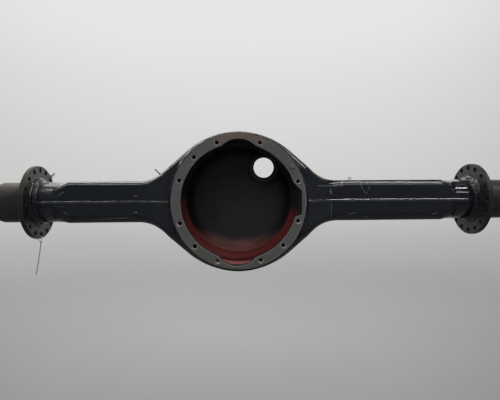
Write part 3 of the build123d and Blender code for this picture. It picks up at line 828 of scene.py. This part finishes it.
def wind_ridge(ridge, start, axis, across, thread):
    """Adds a V-shaped ridge; thread is its root, crest, pitch and turns, with crest < root in a hole."""
    root, crest, pitch, turns = thread
    axis, across, start = Vector(axis), Vector(across), Vector(start)
    half = pitch * HALF_RIDGE
    corners = [(0, root), (half, crest), (2 * half, root)]
    profile = [ridge.verts.new(start + axis * run + across * reach) for run, reach in corners]
    edges = [ridge.edges.new(pair) for pair in zip(profile, profile[1:] + profile[:1])]
    bmesh.ops.spin(
        ridge, geom=profile + edges, cent=start, axis=axis, dvec=axis * pitch / TURN_STEPS,
        angle=math.tau * turns, steps=TURN_STEPS * turns, use_merge=False
    )


def close_ends(ridge):
    open_edges = [edge for edge in ridge.edges if edge.is_boundary]
    bmesh.ops.holes_fill(ridge, edges=open_edges)


# %% [markdown]
# ## Threads of the spindle tips
# Each tip has a keyway along its top that locks the washer between the nuts. The thread is wound
# right round, cut at both walls of the keyway and taken away between them.

# %% Threads of the spindle tips
TIP_THREAD_LENGTH = 35 * MM
TIP_THREAD_PITCH = 2.5 * MM
TIP_THREAD_ROOT = 40.1 * MM
TIP_THREAD_CREST = 41.2 * MM
TIP_CHAMFER = 2.6 * MM
KEYWAY_HALF = 5.7 * MM
KEYWAY_CLEARANCE = 0.05 * MM


def tip_thread(name, side, tip):
    """The thread of one spindle; side is -1 on the left and tip is the x of its end."""
    ridge = bmesh.new()
    turns = int(TIP_THREAD_LENGTH / TIP_THREAD_PITCH) - 1
    thread = (TIP_THREAD_ROOT, TIP_THREAD_CREST, TIP_THREAD_PITCH, turns)
    wind_ridge(ridge, (tip - side * TIP_CHAMFER, AXLE.y, 0), (-side, 0, 0), (0, 0, -1), thread)
    for wall in (-KEYWAY_HALF, KEYWAY_HALF):
        cut_across(ridge, (0, AXLE.y + wall, 0), (0, 1, 0))
    over_key = [
        vert for vert in ridge.verts
        if vert.co.z > 0 and abs(vert.co.y - AXLE.y) < KEYWAY_HALF - KEYWAY_CLEARANCE
    ]
    bmesh.ops.delete(ridge, geom=over_key, context="VERTS")
    close_ends(ridge)
    piece = add_piece(ridge, name, spindle_steel)
    print(name, "faces:", len(piece.data.polygons))


tip_thread("left_tip_thread", -1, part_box("left_spindle")[0].x)
tip_thread("right_tip_thread", 1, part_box("right_spindle")[1].x)

# %% [markdown]
# ## Threads of the ring
# The carrier is bolted to the ring with eleven screws. The holes are plain in CAD, a little wider
# than the crest of the thread. One mesh holds the ridges of all eleven, since they are one finish
# and belong to one piece.

# %% Threads of the ring holes
BOLT_CIRCLE = RING_RADIUS - 19.2 * MM
BOLT_ANGLES = (18.5, 70, 110, 135, 160, 200, 225, 250, 290, 315, 341.5)
HOLE_THREAD_ROOT = 7.85 * MM
HOLE_THREAD_CREST = 6.9 * MM
HOLE_THREAD_PITCH = 2.0 * MM
HOLE_MOUTH = 1.7 * MM


def ring_threads():
    ridge = bmesh.new()
    turns = int((RING_BACK - HOLE_MOUTH) / HOLE_THREAD_PITCH) - 1
    thread = (HOLE_THREAD_ROOT, HOLE_THREAD_CREST, HOLE_THREAD_PITCH, turns)
    for degrees in BOLT_ANGLES:
        angle = math.radians(degrees)
        start = (BOLT_CIRCLE * math.cos(angle), HOLE_MOUTH, BOLT_CIRCLE * math.sin(angle))
        wind_ridge(ridge, start, (0, 1, 0), (0, 0, 1), thread)
    close_ends(ridge)
    return add_piece(ridge, "ring_hole_threads", thread_steel)


print("ring thread faces:", len(ring_threads().data.polygons))

# %% [markdown]
# ## Stage
# The housing hangs clear of the floor, so that its underside can be seen too. The stage is a wide
# pale bowl: a floor that curves up into a wall all round, with no corner to see. A flat floor and a
# flat wall would meet in a line behind the object.

# %% Shape of the stage
FLOOR = -1.45
WALL_RADIUS = 4.6
WALL_TOP = 3.6
SWEEP = 0.9
SWEEP_STEPS = 10
BOWL_STEPS = 96
POLE = 0.001


def bowl_mesh():
    """The floor, the sweep and the wall, spun round the upright axis."""
    bowl = bmesh.new()
    flat = WALL_RADIUS - SWEEP
    corners = [(POLE, FLOOR), (flat, FLOOR)]
    for step in range(1, SWEEP_STEPS + 1):
        angle = math.radians(90 * step / SWEEP_STEPS)
        corners.append((flat + SWEEP * math.sin(angle), FLOOR + SWEEP * (1 - math.cos(angle))))
    corners.append((WALL_RADIUS, WALL_TOP))
    profile = [bowl.verts.new((reach, 0, height)) for reach, height in corners]
    edges = [bowl.edges.new(pair) for pair in zip(profile, profile[1:])]
    bmesh.ops.spin(
        bowl, geom=profile + edges, cent=(0, 0, 0), axis=(0, 0, 1), angle=math.tau,
        steps=BOWL_STEPS, use_merge=True
    )
    bmesh.ops.recalc_face_normals(bowl, faces=bowl.faces)
    mesh = bpy.data.meshes.new("studio_bowl")
    bowl.to_mesh(mesh)
    bowl.free()
    mesh.shade_smooth()
    return mesh


# %% [markdown]
# ## Tones of the stage
# The floor is painted a little lighter towards the back and the wall lighter upwards: painted light
# and shade. The floor runs up into the wall without an edge. The wall is white behind the housing
# and painted grey in front of it, a painted shade for the dim side of the room, which the gloss of
# the housing's front mirrors.

# %% Finish of the stage
# Painted light and shade: darker near and low, lighter far and high, grey in front.
NEAR_FLOOR_SHADED = rgb(0.19, 0.19, 0.187)
FAR_FLOOR_LIT = rgb(0.26, 0.26, 0.258)
WALL_LOW_SHADED = rgb(0.71, 0.70, 0.68)
WALL_HIGH_LIT = rgb(0.93, 0.91, 0.88)
ROOM_SHADE_GREY = rgb(0.34, 0.36, 0.40)
WALL_FOOT = FLOOR + 0.25
CLOUD_SHARE = 0.06


def wall_finish():
    """Pale floor and wall with painted light and shade: lighter upwards, and grey in front of the
    housing.
    """
    finish = Finish("studio_wall")
    cloud = finish.noise(0.8, detail=3, rough=0.5)
    # Painted light and shade: the floor lighter towards the back, the wall lighter upwards.
    floor = finish.mix(finish.y.rise(1.5, 4.2), NEAR_FLOOR_SHADED, FAR_FLOOR_LIT)
    wall = finish.mix(finish.z.rise(1.4, 2.6), WALL_LOW_SHADED, WALL_HIGH_LIT)
    height = finish.z.rise(WALL_FOOT, 0.05) * (1 - CLOUD_SHARE) + cloud * CLOUD_SHARE
    pale = finish.mix(height, floor, wall)
    # Painted shade: the room in front of the housing is grey.
    room_shade = finish.y.rise(1.2, -0.6) * finish.z.rise(FLOOR, FLOOR + 0.8)
    color = finish.mix(room_shade, pale, ROOM_SHADE_GREY)
    finish.set(base_color=color, roughness=0.95, specular_ior_level=0.0)
    return finish.material


stage = bpy.data.objects.new("studio_bowl", bowl_mesh())
bpy.context.scene.collection.objects.link(stage)
stage.data.materials.append(wall_finish())
print("stage faces:", len(stage.data.polygons))

# %% [markdown]
# ## Long lamps overhead
# Rows of long lamps, as under a workshop ceiling, do two jobs: they light the housing softly, and
# they draw thin white lines along its rolled corners. One lamp can't do both at the right strength
# here, so each row is a pair: a soft one that is left out of reflections, and a narrow, bright one
# that shows in reflections alone. The soft one hangs higher, since it would hide the other.

# %% Rows of lamps
LAMP_WHITE = (1.0, 0.985, 0.96)
ROW_HEIGHT = 1.9
ROW_REACH = 3.2
SOFT_RISE = 0.2
SOFT_WIDTH = 0.30
SOFT_POWER = 30
GLINT_WIDTH = 0.07
# The depth of each row at the middle, how it slants with x, and the power of its narrow lamp.
ROWS = {"rear_row": (0.28, -0.4625, 95), "front_row": (-1.01, -0.431, 42)}


def area_lamp(name, width, height, power, place, turn):
    """A rectangular lamp that the camera doesn't see."""
    lamp = bpy.data.lights.new(name, "AREA")
    lamp.shape = "RECTANGLE"
    lamp.size = width
    lamp.size_y = height
    lamp.energy = power
    light = bpy.data.objects.new(name, lamp)
    light.matrix_world = Matrix.Translation(place) @ turn.to_4x4()
    light.visible_camera = False
    bpy.context.scene.collection.objects.link(light)
    return light


def long_lamp(name, start, end, width, power, reflected):
    """A long lamp from start to end that shines at the middle of the axle."""
    start, end = Vector(start), Vector(end)
    middle = (start + end) / 2
    along = (end - start).normalized()
    back = middle - AXLE
    back = (back - along * back.dot(along)).normalized()
    turn = Matrix((along, back.cross(along), back)).transposed()
    light = area_lamp(name, (end - start).length, width, power, middle, turn)
    light.data.color = LAMP_WHITE
    light.visible_glossy = reflected
    light.visible_diffuse = not reflected


for row, (depth, slant, glint_power) in ROWS.items():
    low_ends, high_ends = (
        [(x, depth + slant * x, height) for x in (-ROW_REACH, ROW_REACH)]
        for height in (ROW_HEIGHT, ROW_HEIGHT + SOFT_RISE)
    )
    long_lamp(row + "_soft", *high_ends, SOFT_WIDTH, SOFT_POWER, False)
    long_lamp(row + "_glint", *low_ends, GLINT_WIDTH, glint_power, True)
print("rows of lamps:", len(ROWS))

# %% [markdown]
# ## Broad lamps and the dim ceiling
# The wall, the front, the inside and the rear need light of their own. Broad lamps give soft
# shadows. They are left out of reflections, because a bright patch on the gloss would hide the
# thin lines. A dim sky stands for the light that a ceiling gives back.

# %% Broad lamps
CEILING_BLUE = rgb(0.62, 0.66, 0.72)
CEILING_STRENGTH = 0.12


def broad_lamp(name, place, target, width, height, power):
    """A broad soft lamp at a place that shines at a target."""
    aim = (Vector(target) - Vector(place)).to_track_quat("-Z", "Y").to_matrix()
    light = area_lamp(name, width, height, power, place, aim)
    light.visible_glossy = False


wall_middle = (0, WALL_RADIUS, 1.4)
broad_lamp("wall_wash", (0, 2.2, 2.6), wall_middle, width=4.5, height=0.5, power=330)
broad_lamp("front_fill", (-0.2, -2.4, 1.2), AXLE, width=1.8, height=1.0, power=45)
broad_lamp("aisle_fill", (-0.1, -3.0, 0.1), AXLE, width=2.4, height=1.2, power=30)
broad_lamp("rear_fill", (0.4, 3.0, 1.3), AXLE, width=2.4, height=1.0, power=70)

world = bpy.data.worlds.new("dim_ceiling")
world.use_nodes = True
sky = world.node_tree.nodes["Background"]
sky.inputs["Color"].default_value = CEILING_BLUE
sky.inputs["Strength"].default_value = CEILING_STRENGTH
bpy.context.scene.world = world
print("lamps:", len(bpy.data.lights))

# %% [markdown]
# ## Camera
# The camera stands 1.3 m in front of the ring, a little to its left and above its centre, and looks
# slightly to the right and down. Its place and its focal length, in pixels of a picture 500 wide,
# come from the circles of the ring and the flanges. Three angles turn it, in the order yaw, pitch
# and roll, and the lens is given in millimetres of a 36 mm sensor.

# %% Camera
CAMERA_PLACE = Vector((-0.01292, -1.28648, 0.02948))
FOCAL_PIXELS = 417.85
PHOTO_WIDTH = 500
SENSOR_WIDTH = 36.0
YAW = math.radians(2.095)
PITCH = math.radians(-1.096)
ROLL = math.radians(-0.4188)

ahead_x, ahead_y = math.sin(YAW) * math.cos(PITCH), math.cos(YAW) * math.cos(PITCH)
forward = Vector((ahead_x, ahead_y, math.sin(PITCH)))
level = Vector((math.cos(YAW), -math.sin(YAW), 0))
upward = level.cross(forward)
right = level * math.cos(ROLL) + upward * math.sin(ROLL)
upward = upward * math.cos(ROLL) - level * math.sin(ROLL)
lens = bpy.data.cameras.new("photo_camera")
lens.sensor_width = SENSOR_WIDTH
lens.lens = FOCAL_PIXELS * SENSOR_WIDTH / PHOTO_WIDTH
camera = bpy.data.objects.new("photo_camera", lens)
turn = Matrix((right, upward, -forward)).transposed()
camera.matrix_world = Matrix.Translation(CAMERA_PLACE) @ turn.to_4x4()
bpy.context.scene.collection.objects.link(camera)
bpy.context.scene.camera = camera
print("lens:", round(lens.lens, 2), "mm")
